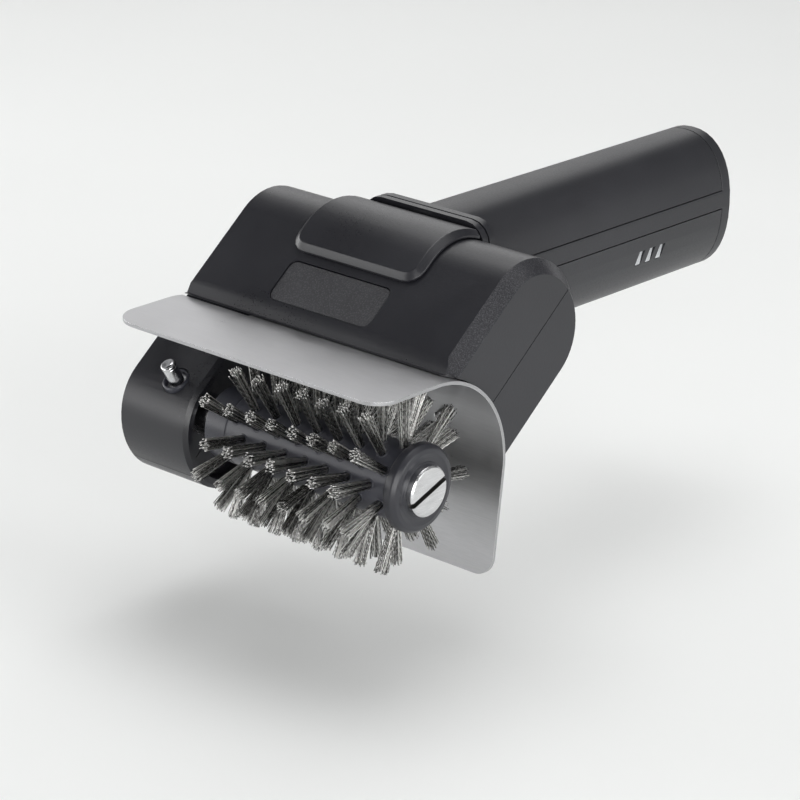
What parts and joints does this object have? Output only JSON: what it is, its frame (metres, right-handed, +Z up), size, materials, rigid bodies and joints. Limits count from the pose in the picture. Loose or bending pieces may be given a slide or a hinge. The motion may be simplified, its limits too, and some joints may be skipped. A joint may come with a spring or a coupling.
{
  "type": "cordless grill cleaning brush",
  "caption": "Battery-driven wire roller brush under a bent sheet-steel guard, on a wide gearbox head with a straight round handle, spindle lock pin and coin-slot roller screw.",
  "frame": {"origin": "centre of the bounding box", "axes": "+Y along the handle towards its end cap, -Y towards the roller; +X along the roller's axis towards its free end and slotted screw; +Z up, out of the saddle on top of the head"},
  "size_m": [0.12, 0.243, 0.1026],
  "materials": {
    "housing_plastic": "moulded charcoal, fine spark texture",
    "core_plastic": "moulded near-black, smooth satin",
    "label_plastic": "finely textured, blank",
    "gauge_lens": "translucent grey",
    "stainless": "satin stainless sheet",
    "bright_steel": "bright nickel-plated steel",
    "wire_steel": "crimped steel wire",
    "board_green": "glass-epoxy board",
    "cell_wrap": "cell sleeve",
    "copper_rotor": "wound rotor",
    "brass_gear": "cut brass",
    "nylon_gear": "moulded white acetal"
  },
  "bodies": {
    "housing": {"arm_cover": "housing_plastic", "arm_screw_1": "bright_steel", "arm_screw_2": "bright_steel", "battery_carrier": "core_plastic", "battery_cell_1": "cell_wrap", "battery_cell_2": "cell_wrap", "charging_socket": "core_plastic", "collar": "housing_plastic", "compound_axle": "bright_steel", "control_board": "board_green", "end_cap": "housing_plastic", "gauge_board": "board_green", "gauge_window_1": "gauge_lens", "gauge_window_2": "gauge_lens", "gauge_window_3": "gauge_lens", "gearbox_arm": "housing_plastic", "gearbox_plate": "stainless", "guard": "stainless", "guard_screw_1": "bright_steel", "guard_screw_2": "bright_steel", "handle_frame": "housing_plastic", "handle_lower_shell": "housing_plastic", "handle_upper_shell": "housing_plastic", "head_screw_1": "bright_steel", "head_screw_2": "bright_steel", "idler_axle_1": "bright_steel", "idler_axle_2": "bright_steel", "label_plate": "label_plastic", "lock_pin_collar": "core_plastic", "lock_pin_spring": "bright_steel", "lower_housing": "housing_plastic", "motor_can": "stainless", "saddle_cover": "housing_plastic", "spindle_bearing_inner": "bright_steel", "spindle_bearing_outer": "bright_steel", "switch_body": "core_plastic", "trigger_spring": "bright_steel", "upper_cover": "housing_plastic"},
    "roller": {"brush_core": "core_plastic", "wire_tufts": "wire_steel", "brush_end_cap": "core_plastic", "end_screw": "bright_steel", "spindle": "bright_steel", "brush_gear": "brass_gear", "lock_disc": "bright_steel"},
    "idler_2": {"idler_gear_2": "nylon_gear"},
    "idler_1": {"idler_gear_1": "nylon_gear"},
    "compound": {"compound_gear": "nylon_gear"},
    "rotor": {"motor_rotor": "copper_rotor", "motor_pinion": "brass_gear"},
    "lock_pin": {"lock_pin": "bright_steel"},
    "trigger": {"trigger": "core_plastic"}
  },
  "joints": [
    {"name": "brush_spin", "type": "hinge", "parent": "housing", "child": "roller", "pos_m": [-0.00295, -0.09251, -0.0099], "axis": [1, 0, 0], "continuous": true},
    {"name": "idler_2_spin", "type": "hinge", "parent": "housing", "child": "idler_2", "pos_m": [-0.00295, -0.07984, -0.00151], "axis": [1, 0, 0], "continuous": true},
    {"name": "idler_1_spin", "type": "hinge", "parent": "housing", "child": "idler_1", "pos_m": [-0.00295, -0.06784, 0.00645], "axis": [1, 0, 0], "continuous": true},
    {"name": "compound_spin", "type": "hinge", "parent": "housing", "child": "compound", "pos_m": [-0.00295, -0.05717, 0.01352], "axis": [1, 0, 0], "continuous": true},
    {"name": "motor_spin", "type": "hinge", "parent": "housing", "child": "rotor", "pos_m": [-0.00295, -0.04117, 0.02413], "axis": [1, 0, 0], "continuous": true},
    {"name": "lock_pin_press", "type": "slide", "parent": "housing", "child": "lock_pin", "axis": [0, 0.515, -0.8572], "range_m": [0, 0.0025], "stiffness_N_per_m": 400, "springref_m": -0.002, "deforming": ["lock_pin_spring"]},
    {"name": "trigger_press", "type": "slide", "parent": "housing", "child": "trigger", "axis": [0, 0, 1], "range_m": [0, 0.003], "stiffness_N_per_m": 400, "springref_m": -0.003, "deforming": ["trigger_spring"]}
  ],
  "couplings": [
    {"joint": "idler_2_spin", "follows": "brush_spin", "ratio": -1.1111},
    {"joint": "idler_1_spin", "follows": "brush_spin", "ratio": 1.1111},
    {"joint": "compound_spin", "follows": "brush_spin", "ratio": -1.4286},
    {"joint": "motor_spin", "follows": "brush_spin", "ratio": 4.2857}
  ]
}
